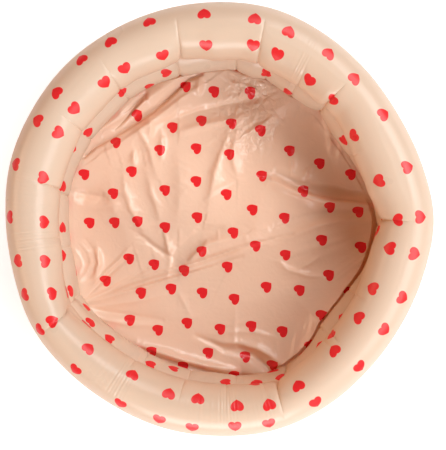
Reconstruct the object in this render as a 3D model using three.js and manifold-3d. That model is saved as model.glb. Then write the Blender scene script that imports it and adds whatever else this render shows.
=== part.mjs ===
// Round inflatable paddling pool: two stacked air rings of film, a film floor, and an air valve in each ring.
// Millimetres, +Z up. The origin is on the ground, in the middle of the pool.
import * as THREE from 'three';
import { mergeVertices } from 'three/addons/utils/BufferGeometryUtils.js';
import Module from 'manifold-3d';

const wasm = await Module();
wasm.setup();

// Pool sizes
const outsideDiameter = 800;
const tubeDiameter = 102;
const pressedFlat = 2.5;
const wallFilm = 0.3;
const floorFilm = 0.4;

// Weld sizes: each ring's film strip ends in a narrow slit underneath, closed by a weld band
const weldWidth = 12;
const weldThickness = 0.6;
const slitWidth = 3;

// One seating gap serves all pieces that rest on each other, one overrun serves all cuts
const seatGap = 0.3;
const cutOverrun = 2;

// Valve flange sizes, over the film of the outer wall
const flangeDiameter = 34;
const flangeRimThickness = 0.5;
const flangeRootThickness = 1.1;
const bossDiameter = 17;
const bossHeight = 1.6;

// Valve stem sizes
const stemDiameter = 10;
const stemBore = 5;
const stemTravel = 14;
const lipDiameter = 16.6;
const lipThickness = 1.4;
const lipBevel = 0.4;
const collarDiameter = 13.4;
const collarThickness = 1.3;
const seatLength = 0.8;
const runningGap = 0.3;

// Valve plug and strap sizes
const plugDepth = 4.6;
const plugClearance = 0.15;
const headDiameter = 10.4;
const headThickness = 1;
const gripDiameter = 4.4;
const gripHeight = 1.6;
const strapWidth = 4.2;
const strapThickness = 0.8;
const anchorLength = 2.6;
const anchorDrop = 0.2;

// Check flap sizes, at the inner end of the stem
const flapDiameter = 8.6;
const flapThickness = 0.5;
const flapTabWidth = 3.2;
const flapTabLength = 0.8;

// Places of the valves, low on the outer walls, measured round the pool and round the tube
const degree = Math.PI / 180;
const fullTurn = 360 * degree;
const halfTurn = fullTurn / 2;
const quarterTurn = fullTurn / 4;
const upperValveAzimuth = -82 * degree;
const lowerValveAzimuth = -98 * degree;
const valveTurn = -24 * degree;

// How far the rings stand out of round, as shares of their radius, at even places round the pool from +X to +Y
const outOfRoundShares = [
  -0.0008, -0.0247, -0.0392, -0.029, -0.0086, 0.0134,
  0.0134, 0.0134, 0.015, 0.0188, 0.015, 0.014,
  -0.0021, -0.0059, 0.0097, 0.0027, 0, 0.0086,
  0.0124, 0.0188, 0.0054, -0.014, -0.0215, -0.015,
];

// Creases of the surplus film on the inner walls: place round the pool and spread to each side in degrees
const creases = [
  { at: -0.6, depthShare: 0.2, spread: 9 },
  { at: -28.8, depthShare: 0.07, spread: 3 },
  { at: -47, depthShare: 0.1, spread: 3 },
  { at: -70.6, depthShare: 0.4, spread: 14 },
  { at: -87, depthShare: 0.08, spread: 3 },
  { at: -101.8, depthShare: 0.11, spread: 3.5 },
  { at: -120.6, depthShare: 0.07, spread: 3 },
  { at: -148, depthShare: 0.36, spread: 11 },
  { at: -173.5, depthShare: 0.09, spread: 3.5 },
  { at: -191, depthShare: 0.14, spread: 4 },
  { at: -213.5, depthShare: 0.13, spread: 4 },
  { at: -233.5, depthShare: 0.11, spread: 3.5 },
  { at: -257.6, depthShare: 0.18, spread: 5 },
  { at: -284, depthShare: 0.2, spread: 5 },
  { at: -300.6, depthShare: 0.09, spread: 3 },
  { at: -313.5, depthShare: 0.2, spread: 5 },
  { at: -335, depthShare: 0.06, spread: 3 },
];
const deepCreaseShare = 0.12;
const creaseShoulder = 3 * degree;
const lowerRingCreaseShift = 6 * degree;

// Where the creases start past the crest, are full, and fade above the weld, measured round the tube
const creaseStart = 62 * degree;
const creaseFull = 140 * degree;
const creaseFade = 205 * degree;
const creaseEnd = 250 * degree;

// Facets
const widestColumn = 9.5 * degree;
const tallestRow = 23.5 * degree;
const roundSteps = 72;
const smallSteps = 20;
const plugSteps = 6;

// Sizes worked out from the driving ones
const tubeRadius = tubeDiameter / 2;
const ringRadius = outsideDiameter / 2 - tubeRadius;
const standReach = tubeRadius - pressedFlat;
const patchReach = bossDiameter / 2 + flangeRootThickness;
const patchRow = Math.asin(patchReach / tubeRadius);
const rimRow = Math.asin(flangeDiameter / 2 / tubeRadius);
const patchColumn = flangeDiameter / outsideDiameter;
const floorWeldBase = floorFilm + seatGap;
const lowerRing = {
  centreHeight: floorWeldBase + weldThickness + seatGap + standReach,
  crownReach: standReach,
  creaseShift: lowerRingCreaseShift,
  valveAzimuth: lowerValveAzimuth,
};
const ringWeldBase = lowerRing.centreHeight + lowerRing.crownReach + seatGap;
const upperRing = {
  centreHeight: ringWeldBase + weldThickness + seatGap + standReach,
  crownReach: tubeRadius,
  creaseShift: 0,
  valveAzimuth: upperValveAzimuth,
};

// Materials
const filmMaterial = new THREE.MeshStandardMaterial({ color: '#eecdb2', roughness: 0.28, metalness: 0 });
const floorMaterial = new THREE.MeshStandardMaterial({ color: '#f2c9ad', roughness: 0.3, metalness: 0 });
const weldMaterial = new THREE.MeshStandardMaterial({ color: '#dcb496', roughness: 0.4, metalness: 0 });
const valveMaterial = new THREE.MeshStandardMaterial({ color: '#efe6dc', roughness: 0.35, metalness: 0 });

// Meshes for cutting and joining
function solidOf(geometry) {
  const bare = geometry.clone();
  bare.deleteAttribute('normal');
  bare.deleteAttribute('uv');
  const merged = mergeVertices(bare);
  return new wasm.Manifold(new wasm.Mesh({
    numProp: 3,
    vertProperties: new Float32Array(merged.attributes.position.array),
    triVerts: new Uint32Array(merged.index.array),
  }));
}

function geometryOf(solid) {
  const mesh = solid.getMesh();
  const geometry = new THREE.BufferGeometry();
  geometry.setAttribute('position', new THREE.BufferAttribute(new Float32Array(mesh.vertProperties), 3));
  geometry.setIndex(new THREE.BufferAttribute(new Uint32Array(mesh.triVerts), 1));
  geometry.computeVertexNormals();
  return geometry;
}

// A closed section carried round a closed loop: loops[i][j] is point j of the section at stop i.
// Points from mirroredFrom on run back along the section, so their squares are split the other way.
function closedSweep(loops, mirroredFrom = Infinity) {
  const count = loops[0].length;
  const positions = loops.flat().flatMap((point) => point.toArray());
  const index = [];
  loops.forEach((loop, i) => {
    const next = (i + 1) % loops.length;
    for (let j = 0; j < count; j += 1) {
      const k = (j + 1) % count;
      const a = i * count + j;
      const b = i * count + k;
      const c = next * count + k;
      const d = next * count + j;
      if (j < mirroredFrom) {
        index.push(a, d, b, b, d, c);
      } else {
        index.push(a, d, c, a, c, b);
      }
    }
  });
  const geometry = new THREE.BufferGeometry();
  geometry.setAttribute('position', new THREE.Float32BufferAttribute(positions, 3));
  geometry.setIndex(index);
  geometry.computeVertexNormals();
  return geometry;
}

// A round piece about Z from an outline of [radius, height] pairs that closes on itself
function revolved(outline, steps) {
  const points = outline.map(([radius, height]) => new THREE.Vector2(radius, height));
  points.push(points[0].clone());
  const geometry = new THREE.LatheGeometry(points, steps);
  geometry.rotateX(quarterTurn);
  return geometry;
}

function named(name, geometry, material) {
  const mesh = new THREE.Mesh(geometry, material);
  mesh.name = name;
  return mesh;
}

// Angle from one place round the pool to another, from minus to plus half a turn
function angleBetween(azimuth, other) {
  return THREE.MathUtils.euclideanModulo(azimuth - other + halfTurn, fullTurn) - halfTurn;
}

// Radius of the rings' middle line, between two of the even places
function ringRadiusAt(azimuth) {
  const count = outOfRoundShares.length;
  const place = (THREE.MathUtils.euclideanModulo(azimuth, fullTurn) / fullTurn) * count;
  const before = Math.floor(place) % count;
  const share = THREE.MathUtils.lerp(
    outOfRoundShares[before],
    outOfRoundShares[(before + 1) % count],
    place - Math.floor(place),
  );
  return ringRadius * (1 + share);
}

function placeAt(azimuth, radius, height) {
  return new THREE.Vector3(radius * Math.cos(azimuth), radius * Math.sin(azimuth), height);
}

// Share of the crease depth that shows at a place round the tube, from 0 to 1
function creaseWeight(turn) {
  const rise = THREE.MathUtils.smoothstep(turn, creaseStart, creaseFull);
  const fall = THREE.MathUtils.smoothstep(turn, creaseFade, creaseEnd);
  return rise * (1 - fall);
}

// How far the inner wall is drawn in at a place round the pool
function creaseDepth(azimuth) {
  return creases.reduce((depth, crease) => {
    const away = Math.abs(angleBetween(azimuth, crease.at * degree));
    return depth + tubeRadius * crease.depthShare * Math.exp(-away / (crease.spread * degree));
  }, 0);
}

// A point of a ring's wall, a given depth under its outer surface
function wallPoint(ring, azimuth, turn, depth) {
  const drawnIn = creaseDepth(azimuth + ring.creaseShift) * creaseWeight(turn);
  const reach = tubeRadius - drawnIn - depth;
  const rise = THREE.MathUtils.clamp(reach * Math.sin(turn), depth - standReach, ring.crownReach - depth);
  return placeAt(azimuth, ringRadiusAt(azimuth) + reach * Math.cos(turn), ring.centreHeight + rise);
}

// The stops, with as many more between them as keep the steps small
function filledIn(stops, widest) {
  const filled = stops.slice(0, -1).flatMap((stop, i) => {
    const step = stops[i + 1] - stop;
    const parts = Math.max(1, Math.ceil(step / widest));
    return Array.from({ length: parts }, (_, part) => stop + (step * part) / parts);
  });
  return [...filled, stops[stops.length - 1]];
}

// Stops round the pool, from one side of the flat patch under the valve to the other.
// There is one at each crease and three at a deep one.
function wallStops(ring) {
  const first = ring.valveAzimuth + patchColumn;
  const last = ring.valveAzimuth - patchColumn + fullTurn;
  const shoulders = (crease) => (crease.depthShare > deepCreaseShare ? [-creaseShoulder, 0, creaseShoulder] : [0]);
  const creaseStops = creases
    .flatMap((crease) => shoulders(crease).map((side) => crease.at * degree + side - ring.creaseShift))
    .map((azimuth) => first + THREE.MathUtils.euclideanModulo(azimuth - first, fullTurn))
    .filter((azimuth) => azimuth < last)
    .sort((a, b) => a - b);
  return filledIn([first, ...creaseStops, last], widestColumn);
}

// Places round the tube, from one edge of the slit over the outside, the crest and the inside to the other
function wallTurns() {
  const slitEdge = slitWidth / 2 / tubeRadius;
  const footEdge = Math.acos(standReach / tubeRadius);
  const bottom = -quarterTurn;
  const lastTurn = bottom + fullTurn - footEdge;
  return [
    bottom + slitEdge,
    ...filledIn([bottom + footEdge, valveTurn - rimRow, valveTurn - patchRow], tallestRow),
    ...filledIn([valveTurn + patchRow, valveTurn + rimRow, lastTurn], tallestRow),
    bottom + fullTurn - slitEdge,
  ];
}

// The film of one ring, with the hole that its valve stem passes through
function ringWall(ring) {
  const turns = wallTurns();
  const loops = wallStops(ring).map((azimuth) => [
    ...turns.map((turn) => wallPoint(ring, azimuth, turn, 0)),
    ...turns.map((turn) => wallPoint(ring, azimuth, turn, wallFilm)).reverse(),
  ]);
  const holeRadius = stemDiameter / 2 + 2 * runningGap;
  const hole = new THREE.CylinderGeometry(holeRadius, holeRadius, 2 * cutOverrun, smallSteps);
  hole.rotateX(quarterTurn);
  hole.applyMatrix4(valveFrameAt(ring));
  return geometryOf(solidOf(closedSweep(loops, turns.length)).subtract(solidOf(hole)));
}

// A flat weld band under a ring's slit, along the rings' middle line
function weldBand(base) {
  const half = weldWidth / 2;
  const top = base + weldThickness;
  const section = [[-half, base], [half, base], [half, top], [-half, top]];
  const loops = Array.from({ length: roundSteps }, (_, i) => {
    const azimuth = (fullTurn * i) / roundSteps;
    return section.map(([offset, height]) => placeAt(azimuth, ringRadiusAt(azimuth) + offset, height));
  });
  return closedSweep(loops);
}

// The floor sheet reaches to the outer edge of the weld
function floorSheet() {
  const outline = new THREE.Shape(Array.from({ length: roundSteps }, (_, i) => {
    const azimuth = (fullTurn * i) / roundSteps;
    const edge = placeAt(azimuth, ringRadiusAt(azimuth) + weldWidth / 2, 0);
    return new THREE.Vector2(edge.x, edge.y);
  }));
  return new THREE.ExtrudeGeometry(outline, { depth: floorFilm, bevelEnabled: false });
}

// A valve's own frame, in the middle of the flat patch of film: Z out of the wall, X round the pool, Y up the wall
function valveFrameAt(ring) {
  const corner = (aside, above) => wallPoint(
    ring,
    ring.valveAzimuth + aside * patchColumn,
    valveTurn + above * patchRow,
    0,
  );
  const [lowLeft, lowRight] = [corner(-1, -1), corner(1, -1)];
  const [highLeft, highRight] = [corner(-1, 1), corner(1, 1)];
  const lowSide = lowLeft.clone().add(lowRight);
  const highSide = highLeft.clone().add(highRight);
  const around = lowRight.add(highRight).sub(lowLeft).sub(highLeft).normalize();
  const rising = highSide.clone().sub(lowSide);
  const out = new THREE.Vector3().crossVectors(around, rising).normalize();
  const up = new THREE.Vector3().crossVectors(out, around);
  const frame = new THREE.Matrix4().makeBasis(around, up, out);
  return frame.setPosition(lowSide.add(highSide).divideScalar(4));
}

// The moulded flange: a thin rim that bends down with the wall, and a plain boss that guides the stem
function valveFlange(ring, frame) {
  const guideRadius = stemDiameter / 2 + runningGap;
  const rimRadius = flangeDiameter / 2;
  const bendRadius = (patchReach + rimRadius) / 2;
  const rimPoint = wallPoint(ring, ring.valveAzimuth, valveTurn + rimRow, 0).applyMatrix4(frame.clone().invert());
  const onWall = (radius, angle, height) => {
    const above = radius * Math.sin(angle);
    const beyond = Math.max(0, Math.abs(above) - patchReach) / (rimRadius - patchReach);
    return new THREE.Vector3(radius * Math.cos(angle), above, height + rimPoint.z * beyond);
  };
  const bendThickness = (flangeRimThickness + flangeRootThickness) / 2;
  const loops = Array.from({ length: 2 * smallSteps }, (_, i) => {
    const angle = (fullTurn * i) / (2 * smallSteps);
    return [
      onWall(guideRadius, angle, seatGap),
      onWall(patchReach, angle, seatGap),
      onWall(bendRadius, angle, seatGap),
      onWall(rimRadius, angle, seatGap),
      onWall(rimRadius, angle, seatGap + flangeRimThickness),
      onWall(bendRadius, angle, seatGap + bendThickness),
      onWall(patchReach, angle, seatGap + flangeRootThickness),
      onWall(bossDiameter / 2, angle, bossHeight - lipBevel),
      onWall(bossDiameter / 2 - lipBevel, angle, bossHeight),
      onWall(guideRadius, angle, bossHeight),
    ];
  });
  return closedSweep(loops);
}

// Heights along the valve, from the wall's surface outwards
const lipBase = bossHeight + seatGap;
const lipTop = lipBase + lipThickness;
const collarTop = -wallFilm - seatGap - stemTravel;
const collarBase = collarTop - collarThickness;
const stemEnd = collarBase - seatLength;
const strapBase = lipTop + seatGap;
const strapTop = strapBase + strapThickness;
const pivotHeight = strapBase + strapThickness / 2;
const pivotPlace = -(lipDiameter / 2 - strapThickness);

// The stem: a lip outside, a stop collar and the flap's seat inside, and the block that anchors the strap
function valveStem() {
  const bore = stemBore / 2;
  const shank = stemDiameter / 2;
  const lip = lipDiameter / 2;
  const collar = collarDiameter / 2;
  const body = revolved([
    [bore, stemEnd],
    [shank, stemEnd],
    [shank, collarBase],
    [collar, collarBase],
    [collar, collarTop],
    [shank, collarTop],
    [shank, lipBase],
    [lip, lipBase],
    [lip, lipTop - lipBevel],
    [lip - lipBevel, lipTop],
    [bore + lipBevel, lipTop],
    [bore, lipTop - lipBevel],
  ], smallSteps);
  const anchorTop = pivotHeight - anchorDrop;
  const anchorFace = pivotPlace - strapThickness / 2 - seatGap;
  const anchor = new THREE.BoxGeometry(anchorLength, strapWidth, anchorTop - lipBase);
  anchor.translate(anchorFace - anchorLength / 2, 0, (anchorTop + lipBase) / 2);
  return geometryOf(solidOf(body).add(solidOf(anchor)));
}

// The plug's nose narrows on the circle that its far side swings through, so that it clears the bore
function valvePlug() {
  const arm = -pivotPlace;
  const swing = arm + stemBore / 2;
  const nose = Array.from({ length: plugSteps + 1 }, (_, i) => {
    const depth = (plugDepth * i) / plugSteps;
    const drop = depth + pivotHeight - lipTop;
    const radius = Math.sqrt(swing * swing - drop * drop) - arm - plugClearance;
    return [radius, lipTop - depth];
  });
  const head = headDiameter / 2;
  const grip = gripDiameter / 2;
  const headTop = strapBase + headThickness;
  const gripTop = headTop + gripHeight;
  const points = [
    [0, gripTop],
    [grip - lipBevel, gripTop],
    [grip, gripTop - lipBevel],
    [grip, headTop],
    [head - lipBevel, headTop],
    [head, headTop - lipBevel],
    [head, strapBase],
    [nose[0][0], strapBase],
    ...nose,
    [0, lipTop - plugDepth],
  ].reverse();
  const geometry = new THREE.LatheGeometry(points.map(([x, y]) => new THREE.Vector2(x, y)), smallSteps);
  geometry.rotateX(quarterTurn);
  return geometry;
}

// The strap: a flat strip from the plug's head to a round end that turns beside the anchor block
function valveStrap() {
  const end = strapThickness / 2;
  const profile = new THREE.Shape();
  profile.moveTo(-(headDiameter / 2 + seatGap), strapBase);
  profile.lineTo(-(headDiameter / 2 + seatGap), strapTop);
  profile.lineTo(pivotPlace, strapTop);
  profile.absarc(pivotPlace, pivotHeight, end, quarterTurn, 3 * quarterTurn, false);
  profile.closePath();
  const geometry = new THREE.ExtrudeGeometry(profile, {
    depth: strapWidth,
    bevelEnabled: false,
    curveSegments: plugSteps,
  });
  geometry.translate(0, 0, -strapWidth / 2);
  geometry.rotateX(quarterTurn);
  return geometry;
}

// The check flap: a film disc with a short tab, lying on the seat at the inner end of the stem
function valveFlap() {
  const radius = flapDiameter / 2;
  const half = flapTabWidth / 2;
  const shoulder = Math.asin(half / radius);
  const outline = new THREE.Shape();
  outline.absarc(0, 0, radius, quarterTurn + shoulder, quarterTurn - shoulder + fullTurn, false);
  outline.lineTo(half, radius + flapTabLength);
  outline.lineTo(-half, radius + flapTabLength);
  outline.closePath();
  const geometry = new THREE.ExtrudeGeometry(outline, {
    depth: flapThickness,
    bevelEnabled: false,
    curveSegments: smallSteps,
  });
  geometry.translate(0, 0, stemEnd - seatGap - flapThickness);
  return geometry;
}

function valve(prefix, ring) {
  const frame = valveFrameAt(ring);
  const group = new THREE.Group();
  group.add(named(`${prefix}_valve_flange`, valveFlange(ring, frame), valveMaterial));
  group.add(named(`${prefix}_valve_stem`, valveStem(), valveMaterial));
  group.add(named(`${prefix}_valve_plug`, valvePlug(), valveMaterial));
  group.add(named(`${prefix}_valve_strap`, valveStrap(), valveMaterial));
  group.add(named(`${prefix}_valve_flap`, valveFlap(), valveMaterial));
  group.applyMatrix4(frame);
  return group;
}

const pool = new THREE.Group();
pool.add(named('floor_sheet', floorSheet(), floorMaterial));
pool.add(named('floor_weld', weldBand(floorWeldBase), weldMaterial));
pool.add(named('lower_ring', ringWall(lowerRing), filmMaterial));
pool.add(named('ring_weld', weldBand(ringWeldBase), weldMaterial));
pool.add(named('upper_ring', ringWall(upperRing), filmMaterial));
pool.add(valve('lower', lowerRing));
pool.add(valve('upper', upperRing));

export default pool;
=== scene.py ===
# Inflatable paddling pool: two stacked air rings and a slack floor sheet, all of printed glossy film.
# Metres, +Z up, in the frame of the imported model. Sizes are written in millimetres and multiplied by MM.
import math

import bmesh
import bpy
import numpy as np
from mathutils import Matrix, Vector, noise
from mathutils.bvhtree import BVHTree


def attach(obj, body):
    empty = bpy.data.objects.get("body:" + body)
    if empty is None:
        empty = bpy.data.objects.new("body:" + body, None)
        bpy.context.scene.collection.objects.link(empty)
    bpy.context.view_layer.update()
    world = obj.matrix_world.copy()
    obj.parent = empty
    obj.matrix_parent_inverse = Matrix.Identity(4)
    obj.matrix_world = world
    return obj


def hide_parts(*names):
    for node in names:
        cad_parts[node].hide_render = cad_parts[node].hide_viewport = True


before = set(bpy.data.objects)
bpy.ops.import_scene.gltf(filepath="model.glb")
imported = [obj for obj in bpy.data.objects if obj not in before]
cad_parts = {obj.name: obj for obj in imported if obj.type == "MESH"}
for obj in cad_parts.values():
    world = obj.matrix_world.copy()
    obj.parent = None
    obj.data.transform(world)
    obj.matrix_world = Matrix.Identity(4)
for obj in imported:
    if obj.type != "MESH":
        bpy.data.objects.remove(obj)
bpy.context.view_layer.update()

MM = 0.001
# Points closer together than this, in metres, become one
JOINED = 1e-7

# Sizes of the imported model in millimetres: radius of the rings' middle line and of their tubes, reach of a
# tube where it is pressed flat, heights of the tubes' middles, and half the width of the welds
RING_RADIUS = 349
TUBE_RADIUS = 51
STAND_REACH = 48.5
LOWER_HEIGHT = 50.1
UPPER_HEIGHT = 148.3
WELD_HALF = 6

# How far the rings stand out of round, as shares of their radius, at even places from +X to +Y
OUT_OF_ROUND = np.array([
    -0.0008, -0.0247, -0.0392, -0.029, -0.0086, 0.0134,
    0.0134, 0.0134, 0.015, 0.0188, 0.015, 0.014,
    -0.0021, -0.0059, 0.0097, 0.0027, 0, 0.0086,
    0.0124, 0.0188, 0.0054, -0.014, -0.0215, -0.015,
])

# How far the inner walls are drawn in: place round the pool in degrees, millimetres
UPPER_DRAW = (
    (0, 2.1), (10, -7), (25, -5.9), (30, -2.4), (41, 3.3), (49, -4.3), (61, -5), (72, -7.3), (81, -0.3),
    (91, -4.4), (96, 1.8), (103, 4.4), (111, -1), (121, 2.6), (136, -2.4), (148, 1.5), (160, -0.9),
    (170, 1.4), (180, 5.1), (190, 5.8), (195, 9.7), (200, 15.3), (205, 18.9), (211, 22), (214, 24),
    (220, 19.2), (230, 12.9), (240, 10.5), (249, 7.6), (259, 5.7), (269, 7.2), (279, 10), (286, 14),
    (290, 16), (294, 14.4), (299, 10.9), (304, 8.7), (309, 6.8), (315, 4.2), (329, 1.9), (340, -1.9),
    (350, -2.7),
)
LOWER_DRAW = (
    (0, 19), (12, 14), (26, 5.9), (36, 0.9), (48, 4.9), (52, -2), (62, -8), (72, -2.2), (77, -7), (87, 3.2),
    (92, 0.3), (102, -1.7), (112, 2), (122, 3.4), (135, 0.4), (156, 6.9), (175, 11.5), (194, 13.8),
    (199, 15), (204, 20.9), (209, 28), (215, 26), (220, 20.3), (225, 14.3), (238, 10), (249, 10),
    (268, 8.9), (278, 15.5), (289, 24), (293, 25), (301, 19.3), (307, 13.1), (314, 1), (322, 1), (331, 4.5),
    (340, 14.6), (350, 19),
)

# Places round the tube are in degrees: 0 on the outer wall, 90 on the crest, 180 on the inner wall.
# Where the inner wall begins, is full, fades and ends
INNER_WALL = (74, 172, 196, 262)

# Creases where the surplus film of the inner walls puckers: place round the pool in degrees, place round
# the tube where it starts, depth and width in millimetres, and slant in degrees
UPPER_CREASES = (
    (-0.6, 76, 9, 3.4, 0.4), (-28.8, 128, 2, 2.2, 0), (-45.6, 104, 3, 2, 0.5), (-48.4, 112, 2.4, 2, -0.4),
    (-70.6, 56, 12, 4, 0.6), (-74.3, 68, 1.6, 1.8, -0.5), (-87, 100, 2.4, 1.8, 0),
    (-101.8, 104, 3.6, 2.2, 0.3), (-120.5, 106, 2.6, 2, 0), (-148, 60, 13, 4.4, -1),
    (-173.5, 112, 3, 2.2, 0), (-191.5, 82, 6, 2.8, 0.8), (-213.5, 98, 5, 2.6, 0.5),
    (-233.5, 80, 5, 2.4, 0.6), (-257.8, 64, 7.5, 2.8, 0.8), (-284, 66, 7, 2.8, -0.5),
    (-300.5, 112, 3.4, 2.4, -0.4), (-313.5, 90, 9.5, 3.4, 0.4), (-335, 146, 2, 2.4, 0),
)
LOWER_CREASES = (
    (-2, 92, 8, 3.2, 0), (-29, 108, 4, 2.4, 0.4), (-47, 104, 3, 2.2, 0), (-67, 72, 12, 4, 0.5),
    (-84, 110, 3, 2, 0), (-101, 100, 4, 2.2, 0.3), (-118, 112, 3, 2.2, 0), (-151, 70, 13, 4.4, -0.6),
    (-170, 108, 4, 2.4, 0), (-189.5, 92, 6, 2.8, 0.6), (-212, 104, 4.5, 2.6, 0), (-233, 98, 4.5, 2.4, 0),
    (-255, 84, 6, 2.8, 0.4), (-276, 84, 6.5, 2.8, -0.4), (-288, 112, 3, 2.2, 0), (-300, 108, 4.4, 2.6, 0),
    (-313, 90, 9, 3.4, 0.3), (-334, 116, 3, 2.4, 0),
)
# Round the tube, in degrees: the middle and half length that a crease slants about, how it opens and
# deepens, where it is deepest and widest, and where it fades
SLANT_MIDDLE = 130
SLANT_SPAN = 60
CREASE_OPEN = 18
CREASE_DEEPENS = 6
CREASE_DEEPEST = 172
CREASE_WIDEST = 180
CREASE_FADES = (214, 262)
# Shares of its depth and width that a crease starts with, and by how much it widens
FIRST_DEPTH = 0.2
FIRST_WIDTH = 0.6
WIDENING = 0.6
# A crease is a sharp valley between soft shoulders: share of the depth, reach in widths, and rounding in mm²
CREASE_PARTS = ((0.45, 0.36, 0.04), (0.55, 2.6, 0.3))

# Where the film is rippled: place round the pool and half width in degrees; then where the ripples begin, are
# full, fade and end round the tube
RIPPLED = ((-86.5, 13.5), (-125, 10), (-176, 16), (-297.5, 3))
RIPPLE_BAND = (48, 80, 150, 178)
# Depth and wavelengths in millimetres, share of the second wave, and how the first one drifts
RIPPLE = 0.16
RIPPLE_LENGTHS = (6.3, 9.7)
SECOND_WAVE = 0.6
DRIFT = 1.7
DRIFT_LENGTH = 23

# Faces of a ring's wall round the pool and round the tube. They crowd at a crease (half width in degrees,
# crowding), at ripples, and on the inner wall (middle, half width, crowding), with soft edges
COLUMNS = 1000
ROWS = 92
CREASE_CROWDING = (2.6, 6)
RIPPLE_CROWDING = 2
INNER_CROWDING = (146, 70, 1.2)
CROWDING_STOPS = 20001
CROWDING_EDGE = (0.6, 1.4)

# The photograph's frame and focal length in pixels, the pixel right under the camera, and the camera's place
PHOTO_SIZE = (446, 450)
FOCAL = 641
NADIR = (242, 226)
EYE = Vector((45.4, -13.1, 1350.6)) * MM

# Middles of the printed hearts in pixels of the photograph, x and y in turn: on the rings, and on the floor
OUTER_HEARTS = (
    204, 13, 149, 21, 110, 41, 81, 59, 56, 92, 37, 120, 15, 164, 9, 217, 17, 261, 24, 295, 39, 330, 75, 370,
    120, 404, 159, 420, 192, 428, 235, 427, 269, 424, 316, 403, 360, 367, 385, 330, 403, 298, 415, 254,
    421, 217, 408, 167, 384, 114, 355, 78, 329, 53, 289, 31, 255, 18,
)
INNER_HEARTS = (
    206, 46, 163, 56, 125, 69, 105, 83, 75, 109, 59, 133, 44, 178, 45, 222, 46, 261, 53, 293, 53, 321,
    89, 348, 133, 374, 169, 393, 198, 398, 237, 405, 269, 404, 298, 385, 334, 350, 358, 317, 372, 288,
    389, 248, 397, 220, 378, 181, 353, 136, 332, 100, 309, 81, 277, 55, 253, 46,
)
WALL_HEARTS = (
    167, 73, 122, 91, 150, 86, 158, 91, 89, 132, 115, 116, 85, 156, 63, 186, 70, 197, 63, 227, 76, 244,
    73, 252, 83, 286, 86, 307, 100, 313, 109, 338, 150, 364, 173, 368, 225, 382, 254, 384, 280, 377,
    331, 335, 377, 231, 344, 141, 326, 124, 318, 117, 288, 93, 281, 93, 267, 73, 242, 74,
)
FLOOR_HEARTS = (
    187, 87, 138, 115, 215, 92, 202, 120, 173, 127, 117, 142, 197, 148, 161, 150, 133, 171, 86, 174,
    197, 181, 166, 190, 115, 193, 91, 222, 116, 222, 139, 221, 198, 217, 166, 227, 130, 258, 155, 264,
    202, 250, 107, 280, 185, 270, 142, 292, 172, 288, 203, 292, 131, 319, 188, 322, 159, 329, 153, 350,
    209, 352, 184, 365, 221, 328, 251, 93, 232, 123, 261, 130, 290, 150, 230, 154, 320, 163, 262, 175,
    304, 190, 227, 194, 253, 209, 330, 206, 358, 211, 285, 217, 351, 174, 234, 232, 256, 245, 322, 239,
    286, 254, 360, 246, 228, 266, 329, 274, 267, 286, 300, 289, 235, 298, 349, 291, 321, 313, 252, 325,
    283, 330, 309, 343, 246, 356, 273, 363, 235, 375,
)

# Rows of hearts on the hidden sides: place round the tube and turn; how many fit round the pool, and how far
# in millimetres they keep from the seen ones
HIDDEN_ROWS = {
    "upper_ring": ((219, math.pi), (-48, 0.0)),
    "lower_ring": ((130, math.pi), (219, math.pi), (41, 0.0), (-48, 0.0)),
}
HIDDEN_COUNT = 28
HIDDEN_SPACING = 46

# Size of a printed heart in millimetres, how far those on the floor are turned, and the printing ink
HEART_WIDTH = 24.4
HEART_HEIGHT = 22.4
FLOOR_HEART_TIP = math.radians(37)
INK = "#f43338"

# Share of the light that soaks through the film, the tint that it takes on, and how strongly PVC bends it
GLOW = 0.34
SOAKED = (1, 0.72, 0.42, 1)
PVC_IOR = 1.53

# The air valves: middle on the wall in millimetres, and the directions round the pool and out of the wall
VALVES = {
    "upper": ((55.673, -396.021, 127.927), (0.993007, 0.118052, 0), (0.107866, -0.907327, -0.406353)),
    "lower": ((-55.384, -394.146, 29.727), (0.98842, -0.151745, 0), (-0.138649, -0.903113, -0.406403)),
}
# In millimetres: half height of the flat patch under a flange, the flange's radius, how far it bends back,
# and the radius of the hole in the wall
PATCH_REACH = 9.6
FLANGE_REACH = 17
FLANGE_DROP = 2
STEM_HOLE = 5.6
# The wall is laid flat up to the first radius, keeps its own shape from the second, and is searched to the
# third
LAID_FLAT = (13, 24)
SEAT_REACH = 25

RINGS = {
    "upper_ring": {
        "height": UPPER_HEIGHT, "crown": TUBE_RADIUS, "hearts": [],
        "draw": UPPER_DRAW, "creases": UPPER_CREASES,
    },
    "lower_ring": {
        "height": LOWER_HEIGHT, "crown": STAND_REACH, "hearts": [],
        "draw": LOWER_DRAW, "creases": LOWER_CREASES,
    },
}


# ---- camera
# The pixel right under the camera says how far its line of sight leans
lean_right, lean_up = (PHOTO_SIZE[0] / 2 - NADIR[0]) / FOCAL, (NADIR[1] - PHOTO_SIZE[1] / 2) / FOCAL
sight = Vector((lean_right, lean_up, -1)).normalized()
sight_right = sight.cross(Vector((0, 1, 0))).normalized()
sight_up = sight_right.cross(sight)


def pixel_ray(x, y):
    """Direction from the camera through a pixel of the photograph."""
    across, down = x - PHOTO_SIZE[0] / 2, y - PHOTO_SIZE[1] / 2
    return (sight * FOCAL + sight_right * across - sight_up * down).normalized()


def on_floor(pixels):
    """Places in millimetres where the rays of pixels, x and y in turn, pass the floor."""
    places = []
    for x, y in zip(pixels[::2], pixels[1::2]):
        ray = pixel_ray(x, y)
        reach = (FLOOR_LEVEL * MM - EYE.z) / ray.z
        places.append(((EYE + ray * reach) / MM)[:2])
    return np.array(places)


def new_object(name, data):
    """Adds an object to the scene."""
    thing = bpy.data.objects.new(name, data)
    bpy.context.collection.objects.link(thing)
    return thing


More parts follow.
